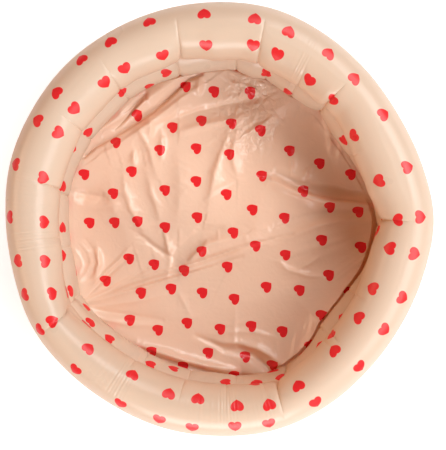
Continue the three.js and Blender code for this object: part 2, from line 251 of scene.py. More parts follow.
def make_camera():
    camera = bpy.data.cameras.new("camera")
    camera.sensor_width = 36
    camera.lens = FOCAL * camera.sensor_width / max(PHOTO_SIZE)
    camera.clip_start, camera.clip_end = 0.01, 50
    holder = new_object("camera", camera)
    turn = Matrix((sight_right, sight_up, -sight)).transposed().to_4x4()
    holder.matrix_world = Matrix.Translation(EYE) @ turn
    bpy.context.scene.camera = holder


# ---- shape of the rings
def smooth_step(value, start, end):
    """A smooth rise from 0 at the start to 1 at the end."""
    share = np.clip((value - start) / (end - start), 0, 1)
    return share * share * (3 - 2 * share)


def band(value, start, full, fading, end):
    """1 between full and fading, and 0 before the start and past the end."""
    return smooth_step(value, start, full) * (1 - smooth_step(value, fading, end))


def apart(angle, middle):
    """How far an angle stands from a middle, up to half a turn each way."""
    return (angle - middle + math.pi) % math.tau - math.pi


def ring_radius(azimuth):
    """Radius of the rings' middle line, smooth between the even places."""
    count = len(OUT_OF_ROUND)
    place = (azimuth / math.tau % 1) * count
    before = np.floor(place).astype(int)
    part = place - before
    p0, p1, p2, p3 = (OUT_OF_ROUND[(before + step) % count] for step in (-1, 0, 1, 2))
    bend = 2 * p0 - 5 * p1 + 4 * p2 - p3 + part * (3 * (p1 - p2) + p3 - p0)
    return RING_RADIUS * (1 + p1 + 0.5 * part * (p2 - p0 + part * bend))


def drawn(table, azimuth):
    """Value at a place round the pool, from a table of places in degrees and values."""
    places = np.array([row[0] for row in table], float)
    values = np.array([row[1] for row in table], float)
    return np.interp(np.degrees(azimuth) % 360, places, values, period=360)


def creased(creases, azimuth, turn):
    """Depth in millimetres of creases and ripples at places round the pool and round the tube, in radians."""
    turn_degrees = np.degrees(turn)
    depth = np.zeros(np.broadcast(azimuth, turn).shape)
    for at, start, deepest, width, slant in creases:
        middle = math.radians(at) + math.radians(slant) * (turn_degrees - SLANT_MIDDLE) / SLANT_SPAN
        along = np.abs(apart(azimuth, middle)) * (RING_RADIUS + TUBE_RADIUS * np.cos(turn))
        open_here = band(turn_degrees, start, start + CREASE_OPEN, *CREASE_FADES)
        deepening = smooth_step(turn_degrees, start + CREASE_DEEPENS, CREASE_DEEPEST)
        deep = deepest * open_here * (FIRST_DEPTH + (1 - FIRST_DEPTH) * deepening)
        wide = width * (FIRST_WIDTH + WIDENING * smooth_step(turn_degrees, start, CREASE_WIDEST))
        for share, reach, rounding in CREASE_PARTS:
            depth = depth + deep * share * np.exp(-np.sqrt(along * along + rounding) / (reach * wide))
    for at, half in RIPPLED:
        away = apart(azimuth, math.radians(at))
        place = away * RING_RADIUS
        first, second = (place / length * math.tau for length in RIPPLE_LENGTHS)
        wave = np.sin(first + DRIFT * np.sin(place / DRIFT_LENGTH)) + SECOND_WAVE * np.sin(second)
        shown = np.exp(-(away / math.radians(half)) ** 4) * band(turn_degrees, *RIPPLE_BAND)
        depth = depth + RIPPLE * shown * wave
    return depth


def wall_places(ring, azimuth, turn):
    """Places in millimetres on a ring's wall, from places round the pool and round the tube in radians."""
    inner = band(np.degrees(turn), *INNER_WALL)
    reach = TUBE_RADIUS - drawn(ring["draw"], azimuth) * inner - creased(ring["creases"], azimuth, turn)
    radial = ring_radius(azimuth) + reach * np.cos(turn)
    rise = np.clip(reach * np.sin(turn), -STAND_REACH, ring["crown"])
    return np.stack([radial * np.cos(azimuth), radial * np.sin(azimuth), ring["height"] + rise], axis=-1)


def crowded(start, end, count, peaks):
    """Stops from start to end, closer together at the peaks, each a middle, a half width and a crowding."""
    fine = np.linspace(start, end, CROWDING_STOPS)
    density = np.ones_like(fine)
    for middle, half, crowding in peaks:
        away = np.abs((fine - middle + 180) % 360 - 180)
        density += crowding * (1 - smooth_step(away, *(half * share for share in CROWDING_EDGE)))
    total = np.concatenate([[0], np.cumsum((density[1:] + density[:-1]) / 2)])
    return np.interp(np.linspace(0, total[-1], count + 1), total, fine)


def flat_grid(columns, rows, size):
    """A flat bmesh grid. The size is half of its side."""
    grid = bmesh.new()
    bmesh.ops.create_grid(grid, x_segments=columns, y_segments=rows, size=size)
    return grid


def make_ring(name, ring, film):
    """A closed tube of film, from a flat strip wrapped round the section and closed round the pool."""
    peaks = [(crease[0], *CREASE_CROWDING) for crease in ring["creases"]]
    peaks += [(at, half, RIPPLE_CROWDING) for at, half in RIPPLED]
    azimuths = np.radians(crowded(0, 360, COLUMNS, peaks))
    turns = np.radians(crowded(-90, 270, ROWS, [INNER_CROWDING]))
    places = wall_places(ring, azimuths[:, None], turns[None, :])
    places[-1] = places[0]
    places[:, -1] = places[:, 0]
    strip = flat_grid(COLUMNS, ROWS, 0.5)
    cells = [(round((v.co.x + 0.5) * COLUMNS), round((v.co.y + 0.5) * ROWS)) for v in strip.verts]
    steps = np.linalg.norm(np.diff(places, axis=0), axis=2)
    lengths = np.concatenate([np.zeros((1, ROWS + 1)), np.cumsum(steps, axis=0)])
    print_strip(strip, cells, azimuths, turns, lengths, ring["hearts"])
    for vert, (column, row) in zip(strip.verts, cells):
        vert.co = places[column, row] * MM
    close_up(strip)
    seat_valve(strip, valve_frame(name.split("_")[0]))
    finish_piece(strip, name, film, "pool")


def valve_frame(name):
    """A valve's own frame: Z out of the wall, X round the pool, Y up the wall."""
    middle, around, out = (Vector(part) for part in VALVES[name])
    turn = Matrix((around, out.cross(around), out)).transposed().to_4x4()
    return Matrix.Translation(middle * MM) @ turn


def saddle(x, y):
    """Height in millimetres of the wall round a valve, which bends away from the flat middle."""
    steep = FLANGE_DROP / (FLANGE_REACH - PATCH_REACH)
    return -steep * max(0, abs(y) - PATCH_REACH) - x * x / (2 * (RING_RADIUS + TUBE_RADIUS))


def seat_valve(wall, seat):
    """Lays the wall flat under the valve's flange, and opens it for the stem."""
    back = seat.inverted()
    near = [vert for vert in wall.verts if (vert.co - seat.translation).length < SEAT_REACH * MM]
    for vert in near:
        x, y, z = back @ vert.co / MM
        stay = float(smooth_step(math.hypot(x, y), *LAID_FLAT))
        vert.co = seat @ (Vector((x, y, stay * z + (1 - stay) * saddle(x, y))) * MM)
    inner = [
        face for face in {face for vert in near for face in vert.link_faces}
        if (back @ face.calc_center_median()).xy.length < STEM_HOLE * MM
    ]
    bmesh.ops.delete(wall, geom=inner, context="FACES")
    for edge in [edge for vert in near if vert.is_valid for edge in vert.link_edges if edge.is_boundary]:
        for vert in edge.verts:
            x, y, z = back @ vert.co
            grow = STEM_HOLE * MM / math.hypot(x, y)
            vert.co = seat @ Vector((x * grow, y * grow, z))


def print_strip(strip, cells, azimuths, turns, lengths, hearts):
    """Stores at each face corner the place in millimetres from the nearest printed heart."""
    layer = strip.loops.layers.float_vector.new("print")
    around = lengths[-1]
    across, along = [], []
    for azimuth, turn, tip in hearts:
        middle = np.array([np.interp(azimuth % math.tau, azimuths, row) for row in lengths.T])
        aside = (lengths - middle + around / 2) % around - around / 2
        above = np.broadcast_to((turns - turn) * TUBE_RADIUS, aside.shape)
        across.append(aside * math.cos(tip) - above * math.sin(tip))
        along.append(aside * math.sin(tip) + above * math.cos(tip))
    across, along = np.array(across), np.array(along)
    distance = np.hypot(across, along)
    for face in strip.faces:
        corners = [cells[vert.index] for vert in face.verts]
        columns, rows = np.array(corners).T
        nearest = int(np.argmin(distance[:, columns, rows].sum(axis=1)))
        for loop, (column, row) in zip(face.loops, corners):
            loop[layer] = (across[nearest, column, row], along[nearest, column, row], 0)


def close_up(strip):
    """Joins the edges of a strip that meet, and turns its faces outwards."""
    bmesh.ops.remove_doubles(strip, verts=strip.verts, dist=JOINED)
    bmesh.ops.recalc_face_normals(strip, faces=strip.faces)


def as_object(strip, name, mesh_name):
    """Turns a bmesh into an object."""
    mesh = bpy.data.meshes.new(mesh_name)
    strip.to_mesh(mesh)
    strip.free()
    return new_object(name, mesh)


def finish_mesh(strip, name, material):
    piece = as_object(strip, name + "_made", name)
    piece.data.shade_smooth()
    piece.data.materials.append(material)
    return piece


def finish_piece(strip, node, material, body):
    """Turns a bmesh into the piece that stands for a CAD node, on its body and with its material."""
    piece = finish_mesh(strip, node, material)
    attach(piece, body)
    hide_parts(node)
    return piece


# ---- materials
def linear(hex_colour):
    """sRGB hex to a linear colour."""
    parts = [int(hex_colour[i:i + 2], 16) / 255 for i in (1, 3, 5)]
    return tuple(c / 12.92 if c <= 0.04045 else ((c + 0.055) / 1.055) ** 2.4 for c in parts) + (1,)


def add(tree, kind, inputs=None, **settings):
    """Adds a node with its settings, and links or sets its inputs."""
    node = tree.nodes.new("ShaderNode" + kind)
    for key, value in settings.items():
        setattr(node, key, value)
    for key, value in (inputs or {}).items():
        if isinstance(value, bpy.types.NodeSocket):
            tree.links.new(value, node.inputs[key])
        else:
            node.inputs[key].default_value = value
    return node


def maths(tree, operation, *values, **settings):
    """Adds a node that works out one number."""
    return add(tree, "Math", dict(enumerate(values)), operation=operation, **settings).outputs[0]


def mapped(tree, value, start, end, first, last):
    """Adds a node that takes one range to another."""
    return add(tree, "MapRange", {0: value, 1: start, 2: end, 3: first, 4: last}).outputs[0]


def noisy(tree, place, grain, detail):
    """Adds soft noise of a grain in metres."""
    return add(tree, "TexNoise", {"Vector": place, "Scale": 1 / grain, "Detail": detail})


def mixed_colour(tree, share, first, second, **settings):
    """Adds a mix of two colours."""
    return add(tree, "Mix", {0: share, 6: first, 7: second}, data_type="RGBA", **settings).outputs[2]


def new_material(name):
    material = bpy.data.materials.new(name)
    material.use_nodes = True
    material.node_tree.nodes.clear()
    return material, material.node_tree


def heart_mask(tree, across, along):
    """1 inside the printed hearts, from the place in millimetres that the film carries.

    The outline is x² + y² = |x|^(2/3) y + 1. It is 2.278 wide and 2.236 high, with its middle 0.118 up."""
    x = maths(tree, "DIVIDE", across, HEART_WIDTH / 2.278)
    y = maths(tree, "ADD", maths(tree, "DIVIDE", along, HEART_HEIGHT / 2.236), 0.118)
    lobe = maths(tree, "MULTIPLY", maths(tree, "POWER", maths(tree, "ABSOLUTE", x), 2 / 3), y)
    round_part = maths(tree, "MULTIPLY_ADD", y, y, maths(tree, "MULTIPLY", x, x))
    return mapped(tree, maths(tree, "SUBTRACT", round_part, lobe), 0.95, 1.05, 1.0, 0.0)


def crinkled(tree, place, strong, bump, relief):
    """Fine crinkles from lying folded in its box: faint ones all over, and strong ones in patches where the
    film is crumpled, raised by the relief in millimetres."""
    bend = noisy(tree, place, 22 * MM, 2.0).outputs["Color"]
    bent = add(tree, "Mix", {0: 0.03, 4: place, 5: bend}, data_type="VECTOR").outputs[1]
    net = add(tree, "TexVoronoi", {"Vector": bent, "Scale": 1 / (15 * MM)}, feature="DISTANCE_TO_EDGE")
    strong = maths(tree, "MULTIPLY", strong, mapped(tree, bend, 0.4, 0.6, 0.5, 1.0))
    folded = maths(tree, "MULTIPLY", net.outputs["Distance"], maths(tree, "ADD", strong, 0.07))
    return add(tree, "Bump", {
        "Height": folded, "Distance": relief * MM, "Strength": 1.0, "Normal": bump.outputs[0],
    })


def finish_pvc(tree, colour, soaked, rough, bump):
    """PVC that throws back most of the light and lets the rest soak through."""
    surface = add(tree, "BsdfPrincipled", {
        "Base Color": colour, "Roughness": rough, "IOR": PVC_IOR, "Normal": bump.outputs[0],
    })
    glow = add(tree, "BsdfTranslucent", {"Color": soaked, "Normal": bump.outputs[0]})
    both = add(tree, "MixShader", {0: GLOW, 1: surface.outputs[0], 2: glow.outputs[0]})
    add(tree, "OutputMaterial", {0: both.outputs[0]})


def printed_film(name, colour, shade, gloss, crinkle):
    """Printed PVC film, calendered glossy: broad highlights, faint clouding of its colour, fine orange peel.

    Light that soaks through it comes out deeper orange. Slack film is crinkled by millimetres."""
    material, tree = new_material(name)
    place = add(tree, "TexCoord").outputs["Object"]
    clouds = noisy(tree, place, 1 / 9, 3.0).outputs[0]
    ground = mixed_colour(tree, clouds, linear(colour), linear(shade))
    carried = add(tree, "Attribute", attribute_name="print")
    across, along, crumpled = add(tree, "SeparateXYZ", {0: carried.outputs["Vector"]}).outputs
    inked = mixed_colour(tree, heart_mask(tree, across, along), ground, linear(INK))
    peel = noisy(tree, place, 9 * MM, 2.0).outputs[0]
    bump = add(tree, "Bump", {"Height": peel, "Distance": 0.12 * MM, "Strength": 1.0})
    if crinkle:
        bump = crinkled(tree, place, crumpled, bump, crinkle)
    rough = mapped(tree, clouds, 0.3, 0.7, gloss, gloss + 0.07)
    soaked = mixed_colour(tree, 1.0, inked, SOAKED, blend_type="MULTIPLY")
    finish_pvc(tree, inked, soaked, rough, bump)
    return material


def plain_pvc(name, colour, shade, gloss, grain, relief):
    """PVC with no print: faint clouding of its colour, and a grain in millimetres raised by the relief."""
    material, tree = new_material(name)
    place = add(tree, "TexCoord").outputs["Object"]
    clouds = noisy(tree, place, 14 * MM, 3.0).outputs[0]
    ground = mixed_colour(tree, clouds, linear(colour), linear(shade))
    speckle = noisy(tree, place, grain * MM, 2.0).outputs[0]
    bump = add(tree, "Bump", {"Height": speckle, "Distance": relief * MM, "Strength": 1.0})
    rough = mapped(tree, speckle, 0.3, 0.7, gloss, gloss + 0.1)
    finish_pvc(tree, ground, ground, rough, bump)
    return material


def studio_paper():
    """Matt white paper: white to the camera and in reflections, and darker only in the object's shade.

    Light that soaks through the film counts as diffuse, and gets nothing of the white."""
    material, tree = new_material("studio_paper")
    paper = add(tree, "BsdfDiffuse", {0: (0.8, 0.8, 0.8, 1)})
    path = add(tree, "LightPath").outputs
    clear = maths(tree, "SUBTRACT", path["Is Transmission Ray"], path["Is Diffuse Ray"], use_clamp=True)
    seen = maths(tree, "MAXIMUM", path["Is Camera Ray"], path["Is Glossy Ray"])
    place = add(tree, "TexCoord").outputs["Object"]
    away = add(tree, "VectorMath", {0: place}, operation="LENGTH").outputs["Value"]
    # Less white near the object, and full white from 2.2 m away
    far = mapped(tree, away, 0.7, 2.2, 0.5, 1.0)
    white = maths(tree, "MULTIPLY", maths(tree, "MAXIMUM", seen, clear), far)
    lift = add(tree, "Emission", {0: (1, 1, 1, 1), 1: white})
    both = add(tree, "AddShader", {0: paper.outputs[0], 1: lift.outputs[0]})
    add(tree, "OutputMaterial", {0: both.outputs[0]})
    return material


# ---- hearts
def rough_tree(ring):
    """A coarse tube of a ring to cast rays at."""
    tube = flat_grid(360, 90, 0.5)
    strip = np.array([(vert.co.x, vert.co.y) for vert in tube.verts]) + 0.5
    azimuth, turn = strip[:, 0] * math.tau, strip[:, 1] * math.tau - math.pi / 2
    for vert, place in zip(tube.verts, wall_places(ring, azimuth, turn)):
        vert.co = Vector(place) * MM
    tree = BVHTree.FromBMesh(tube)
    tube.free()
    return tree


def hearts_on(trees, pixels):
    """Casts a ray through each pixel, and returns the first film's name and the place hit in millimetres."""
    found = []
    for x, y in zip(pixels[::2], pixels[1::2]):
        hits = []
        for name, tree in trees.items():
            place, _, _, reach = tree.ray_cast(EYE, pixel_ray(x, y))
            if place is not None:
                hits.append((reach, name, place / MM))
        if hits:
            _, name, place = min(hits, key=lambda hit: hit[0])
            found.append((name, place))
    return found


def ring_place(ring, place):
    """Place round the pool and round the tube, in radians, of a point on a ring's wall."""
    azimuth = math.atan2(place.y, place.x)
    aside = math.hypot(place.x, place.y) - float(ring_radius(np.array(azimuth)))
    turn = math.atan2(place.z - ring["height"], aside)
    return azimuth, turn if turn > -math.pi / 2 else turn + math.tau


def place_hearts():
    """Puts the seen hearts where the photograph has them, and carries them on over the hidden sides."""
    trees = {name: rough_tree(ring) for name, ring in RINGS.items()}
    for pixels, tip in ((OUTER_HEARTS, 0.0), (INNER_HEARTS, math.pi), (WALL_HEARTS, math.pi / 2)):
        for name, place in hearts_on(trees, pixels):
            RINGS[name]["hearts"].append((*ring_place(RINGS[name], place), tip))
    for name, rows in HIDDEN_ROWS.items():
        seen = list(RINGS[name]["hearts"])
        for row, (turn, tip) in enumerate(rows):
            turned_to = math.radians(turn)
            for step in range(HIDDEN_COUNT):
                azimuth = math.tau * (step + 0.5 * (row % 2)) / HIDDEN_COUNT
                near = (
                    math.hypot(apart(azimuth, a) * RING_RADIUS, apart(turned_to, t) * TUBE_RADIUS)
                    for a, t, _ in seen
                )
                if min(near) > HIDDEN_SPACING:
                    RINGS[name]["hearts"].append((azimuth, turned_to, tip))


# ---- floor sheet
# Folds of the floor sheet: height in millimetres (below 0 for a valley), how far it slopes away from the
# light and towards it, and the pixels of the photograph that the fold runs through, x and y in turn
FOLDS = (
    # the deep valley along the upper left wall, a billow on each side, and the pleat beside it
    (-13, 5, 2.6, (
        85, 157, 95, 147, 115, 136, 130, 126, 142, 119, 155, 110, 168, 99, 178, 90, 188, 81, 202, 76,
    )),
    (7, 14, 7, (84, 146, 100, 132, 118, 121, 136, 110, 150, 100, 164, 91, 180, 80)),
    (6, 5, 24, (100, 156, 120, 144, 138, 131, 152, 121, 168, 110, 184, 98, 204, 86)),
    (-10, 4, 3, (115, 129, 126, 118, 136, 108, 145, 99)),
    (-5, 3, 3, (124, 114, 134, 105, 146, 95, 148, 104)),
    # creases that run down from it
    (6.5, 8, 18, (136, 122, 142, 135, 150, 150, 153, 162, 158, 178)),
    (5, 8, 5, (150, 118, 151, 128, 152, 138)),
    (5, 8, 5, (162, 133, 163, 146, 162, 160)),
    (5, 8, 5, (134, 150, 135, 158, 135, 167)),
    (6, 10, 22, (124, 170, 127, 192, 132, 210, 140, 225, 148, 240)),
    (6, 9, 20, (147, 170, 152, 192, 157, 207, 161, 224)),
    (-6, 10, 8, (72, 192, 90, 195, 106, 198)),
    (4, 10, 10, (84, 206, 104, 208, 122, 204)),
    # the soft valley from the right, and the folds down the middle
    (-9, 12, 6, (162, 123, 182, 117, 200, 111, 215, 108, 232, 104, 250, 100, 264, 95)),
    (5, 14, 8, (176, 134, 198, 126, 218, 122, 238, 118)),
    (9, 9, 28, (232, 124, 226, 140, 220, 155, 215, 172, 212, 190, 208, 210)),
    (6, 8, 18, (238, 128, 234, 146, 233, 160, 237, 178)),
    (5, 6, 5, (200, 80, 199, 88, 199, 97)),
    # crumpled film at the top right
    (2.5, 3, 4, (221, 77, 232, 84, 241, 93, 236, 103, 231, 111)),
    (2.5, 3, 4, (228, 88, 240, 85, 252, 90, 264, 97)),
    (5, 3, 6, (243, 136, 254, 129, 264, 124, 273, 116)),
    (5, 20, 12, (262, 119, 280, 107, 296, 101)),
    (2.5, 4, 3, (291, 152, 291, 168, 290, 184)),
    (3, 6, 3, (308, 167, 304, 180, 300, 190)),
    (4, 4, 8, (323, 120, 329, 137, 330, 155)),
    (3.5, 5, 8, (341, 140, 337, 161)),
    # the long ridge on the right, and the swells below it
    (11, 16, 4, (272, 180, 295, 190, 305, 194, 325, 200, 355, 203, 370, 205)),
    (-13, 9, 6, (276, 172, 296, 181, 318, 189, 346, 194, 368, 197)),
    (-6, 12, 8, (272, 228, 307, 215, 345, 209, 366, 210)),
    (6, 8, 18, (288, 238, 314, 226, 340, 220, 366, 222)),
    (4.5, 10, 4, (279, 261, 287, 269, 297, 272, 308, 275, 321, 276)),
    (3, 4, 4, (300, 268, 308, 264, 318, 257)),
    # the fan from the corner at the lower left
    (-6, 4, 4, (82, 301, 96, 287, 108, 275, 118, 266, 127, 259)),
    (4.5, 3, 9, (84, 297, 96, 284, 108, 271, 121, 258, 128, 249)),
    (-4, 3, 3, (82, 302, 110, 290, 126, 281, 147, 269)),
    (-5, 3, 3, (84, 303, 106, 294, 130, 283, 155, 275, 180, 268, 205, 260, 240, 247, 292, 234)),
    (-4, 3, 3, (84, 304, 110, 297, 130, 291, 167, 280, 195, 272, 242, 257)),
    (4, 5, 7, (118, 291, 150, 281, 180, 273, 212, 264)),
    (4, 7, 9, (84, 308, 110, 304, 140, 300, 172, 292)),
    (3.5, 6, 7, (82, 306, 104, 318, 128, 324, 158, 326)),
    (-3.5, 4, 5, (84, 304, 108, 312, 134, 316, 162, 320)),
    # the folds that meet above it
    (-6, 8, 4, (138, 233, 155, 247, 165, 254, 174, 258)),
    (4, 6, 6, (165, 234, 169, 250, 171, 262, 167, 276)),
    (-11, 9, 10, (171, 266, 180, 250, 190, 240, 202, 232, 218, 230)),
    (7, 6, 16, (184, 269, 194, 255, 206, 244, 224, 240, 242, 236)),
    # waves along the left wall
    (1.4, 3, 3, (82, 243, 89, 252, 92, 262, 88, 272, 80, 281)),
    (1.4, 3, 3, (76, 249, 82, 258, 84, 266, 80, 275)),
    (-1.4, 3, 3, (86, 239, 94, 250, 97, 261, 94, 272, 86, 283)),
    (7, 9, 7, (98, 248, 100, 264, 96, 280)),
    # the deep creases along the bottom wall
    (-9, 4, 3, (144, 349, 158, 357, 172, 362, 190, 366, 205, 371, 227, 376, 247, 377, 284, 378)),
    (10, 9, 9, (138, 342, 160, 351, 184, 359, 208, 365, 232, 369)),
    (-9, 5, 9, (224, 351, 240, 352, 252, 356, 265, 365, 272, 376, 288, 378)),
    (6, 6, 8, (220, 342, 240, 343, 256, 347, 270, 354, 284, 364)),
    (-4, 3, 4, (196, 336, 210, 342, 224, 349, 236, 352)),
    (1.8, 9, 4, (235, 304, 235, 330, 234, 351)),
    (3, 7, 3, (220, 333, 238, 331, 254, 331, 274, 336)),
    (1.8, 6, 5, (176, 288, 184, 302, 191, 316)),
    # the film rises against the top wall
    (9, 34, 24, (150, 96, 166, 84, 184, 76, 206, 72, 230, 73, 250, 78, 268, 88)),
    (7, 16, 24, (262, 82, 284, 93, 300, 101, 318, 110, 330, 127, 340, 142, 356, 168, 370, 190)),
    # broad billows
    (9, 22, 40, (112, 170, 116, 210, 132, 240)),
    (9, 20, 44, (178, 150, 182, 190, 178, 224)),
    (7, 26, 36, (262, 190, 256, 232, 230, 262)),
    (6, 34, 40, (130, 300, 190, 318, 250, 300, 300, 290)),
    (5, 24, 30, (310, 250, 340, 236, 356, 226)),
)
# Where the light comes from, by how much the folds are raised, and the floor's mean height in millimetres
LIGHT_TURN = math.radians(20)
FOLD_LIFT = 1.3
FLOOR_LEVEL = 6
# Across a fold: how steeply it falls away from its crest, and how much the crest is rounded
FOLD_STEEP = 0.9
CREST_ROUNDING = 0.4
# Along a fold, its height follows a half wave: the share of it cut off at each end, and how full it is
FOLD_END = 0.1
FOLD_FULLNESS = 0.8

# Heights in millimetres: of the slack film before it settles, of its lowest places before and after, and
# how far it is laid down afterwards, so that it lies on the ground in its valleys
SLACK_LEVEL = 9
LOWEST_SLACK = 0.5
LOWEST_FILM = 0.4
LAID_DOWN = 7.1
# How softly the film comes to the ground, before and after it settles
SLACK_SOFTNESS = 3
LAID_SOFTNESS = 2
# Shares of the settled height and of the first height, which raises the folds again
SETTLED_SHARE = 0.6
RAISED_SHARE = 0.8
# Room that the film leaves under the lower ring
RING_CLEARANCE = 1.5

# How high the film rises against the lower ring: place round the pool in degrees, millimetres, and its reach
RISE = (
    (-82, 0), (-72, 16), (-55, 29), (-35, 30), (-15, 22), (0, 12), (8, 4), (22, 0), (60, 0), (90, 4),
    (110, 3), (135, 2), (165, 8), (200, 9), (225, 5), (240, 2), (262, 0), (278, 0),
)
RISE_REACH = 38
# Where it keeps a dark groove along the wall, from none to all of it, and how far the groove reaches
GROOVE = ((-74, 0), (-66, 0.7), (-20, 0.7), (0, 0.4), (20, 0.2), (60, 0), (286, 0))
GROOVE_REACH = 2.8
# The crumpled place: its middle in pixels of the photograph and half sizes in millimetres; size and height
# of its facets, how uneven their edges are, and over what share of their size they rise
CRUMPLE = ((247, 112), (66, 84))
CRUMPLE_CELL = 24
CRUMPLE_LIFT = 4.5
CRUMPLE_BEND = 0.35
CRUMPLE_BEND_SCALE = 0.8
CRUMPLE_RISE = 0.6
# Film crumpled less than this keeps no facets
UNCRUMPLED = 0.02

# The cloth simulation: faces along each side, steps, how much larger the film is cut than the floor, and
# where under the ring it is held, as shares of the tube that it has passed
SIM_CELLS = 150
SIM_FRAMES = 16
SLACK = 0.012
HELD_FROM = 0.95
HELD_OVER = 0.2
CLOTH = {
    "quality": 6, "mass": 0.02, "tension_stiffness": 30, "compression_stiffness": 30, "shear_stiffness": 20,
    "bending_stiffness": 0.6, "air_damping": 3, "vertex_group_mass": "pins", "pin_stiffness": 5,
}


def fold_heights(places):
    """Height in millimetres of the folds at places in millimetres."""
    light = np.array([math.cos(LIGHT_TURN), math.sin(LIGHT_TURN)])
    heights = np.zeros(len(places))
    for height, away_from_light, towards_light, pixels in FOLDS:
        line = on_floor(pixels)
        side = np.array([line[0][1] - line[-1][1], line[-1][0] - line[0][0]])
        side = side * np.sign(side @ light)
        nearest = np.full(len(places), np.inf)
        along = np.zeros(len(places))
        lit = np.zeros(len(places), bool)
        run = 0
        for start, end in zip(line[:-1], line[1:]):
            step = end - start
            length = np.linalg.norm(step)
            share = np.clip((places - start) @ step / length ** 2, 0, 1)
            aside = places - start - share[:, None] * step
            away = np.linalg.norm(aside, axis=1)
            closer = away < nearest
            nearest = np.where(closer, away, nearest)
            along = np.where(closer, run + share * length, along)
            lit = np.where(closer, aside @ side > 0, lit)
            run += length
        inside = np.clip(FOLD_END + (1 - 2 * FOLD_END) * along / run, 0, 1)
        taper = np.sin(np.pi * inside) ** FOLD_FULLNESS
        slope = np.where(lit, towards_light, away_from_light)
        fall = np.sqrt(CREST_ROUNDING ** 2 + FOLD_STEEP * (nearest / slope) ** 2)
        heights += height * taper * np.exp(CREST_ROUNDING - fall)
    return heights


def floor_grid(cells):
    """A bmesh grid mapped onto the disc inside the floor weld, and its places in millimetres."""
    sheet = flat_grid(cells, cells, 1)
    square = np.array([(v.co.x, v.co.y) for v in sheet.verts])
    disc = square * np.sqrt(1 - square[:, ::-1] ** 2 / 2)
    azimuth = np.arctan2(disc[:, 1], disc[:, 0])
    places = disc * (ring_radius(azimuth) + WELD_HALF)[:, None]
    order = np.rint((square + 1) / 2 * cells).astype(int)
    return sheet, order, places


def under_ring(places):
    """Place round the pool, distance in millimetres from the lower ring (below 0 under it), share of its tube
    that is passed, and height in millimetres that it leaves over the floor."""
    azimuth = np.arctan2(places[..., 1], places[..., 0])
    tube = TUBE_RADIUS - drawn(LOWER_DRAW, azimuth)
    middle, away = ring_radius(azimuth), np.hypot(places[..., 0], places[..., 1])
    inside = np.clip((middle - away) / tube, 0, 1)
    room = LOWER_HEIGHT - tube * np.sqrt(1 - inside ** 2) - RING_CLEARANCE
    room = np.where(inside < 1, np.maximum(room, LOWEST_FILM), np.inf)
    return azimuth, middle - tube - away, inside, room


def laid_on_ground(heights, lowest, softness):
    """Heights that come softly to rest at the lowest one."""
    return lowest + softness * np.logaddexp(0, (heights - lowest) / softness)


def first_heights(places):
    """Heights in millimetres of the slack film: its folds, and its rise against the wall."""
    azimuth, gap, _, room = under_ring(places)
    risen = drawn(RISE, azimuth) * np.exp(-np.maximum(gap, 0) / RISE_REACH)
    heights = SLACK_LEVEL + FOLD_LIFT * fold_heights(places) + risen
    return np.minimum(laid_on_ground(heights, LOWEST_SLACK, SLACK_SOFTNESS), room)


def settled(heights_at):
    """Places of the slack film after a cloth simulation has let it buckle and settle."""
    sheet, order, flat = floor_grid(SIM_CELLS)
    for vert, place, height in zip(sheet.verts, flat, heights_at(flat)):
        vert.co = Vector((place[0], place[1], height)) * MM
    cloth = as_object(sheet, "settling", "settling")
    ground = as_object(flat_grid(1, 1, 0.6), "ground", "ground")
    ground.modifiers.new("Collision", "COLLISION")
    ground.collision.thickness_outer = 0.0005
    ground.collision.cloth_friction = 20
    pins = cloth.vertex_groups.new(name="pins")
    inside = under_ring(flat)[2]
    for index, share in enumerate(inside):
        weight = float(np.clip((HELD_FROM - share) / HELD_OVER, 0, 1))
        if weight > 0:
            pins.add([index], weight, "REPLACE")
    cloth.shape_key_add(name="Basis")
    slack = cloth.shape_key_add(name="slack")
    for index, vert in enumerate(cloth.data.vertices):
        slack.data[index].co = (vert.co.x * (1 + SLACK), vert.co.y * (1 + SLACK), vert.co.z)
    cloth_modifier = cloth.modifiers.new("Cloth", "CLOTH")
    settings = cloth_modifier.settings
    for key, value in CLOTH.items():
        setattr(settings, key, value)
    settings.rest_shape_key = slack
    settings.effector_weights.gravity = 0.5
    cloth_modifier.collision_settings.distance_min = 0.001
    cloth_modifier.collision_settings.use_self_collision = False
    cloth_modifier.point_cache.frame_end = SIM_FRAMES
    for step in range(1, SIM_FRAMES + 1):
        bpy.context.scene.frame_set(step)
    shaped = cloth.evaluated_get(bpy.context.evaluated_depsgraph_get()).to_mesh()
    grid = np.zeros((SIM_CELLS + 1, SIM_CELLS + 1, 3))
    for vert, (column, row) in zip(shaped.vertices, order):
        grid[column, row] = np.array(vert.co) / MM
    bpy.context.scene.frame_set(1)
    for thing in (cloth, ground):
        mesh = thing.data
        bpy.data.objects.remove(thing)
        bpy.data.meshes.remove(mesh)
    return grid


def doubled(grid):
    """The grid with a point between each two, on smooth curves."""
    for _ in range(2):
        padded = np.concatenate([2 * grid[:1] - grid[1:2], grid, 2 * grid[-1:] - grid[-2:-1]])
        between = (9 * (padded[1:-2] + padded[2:-1]) - padded[:-3] - padded[3:]) / 16
        finer = np.empty((2 * len(grid) - 1, *grid.shape[1:]))
        finer[::2], finer[1::2] = grid, between
        grid = finer.transpose(1, 0, 2)
    return grid


def crumple_height(place):
    """Height in millimetres of the facets of crumpled film, with creases between them."""
    spot = Vector((*place, 0)) / CRUMPLE_CELL
    uneven = CRUMPLE_BEND * noise.noise_vector(spot * CRUMPLE_BEND_SCALE)
    (nearest, second, *_), _ = noise.voronoi(spot + uneven)
    return CRUMPLE_LIFT * min(second - nearest, CRUMPLE_RISE)


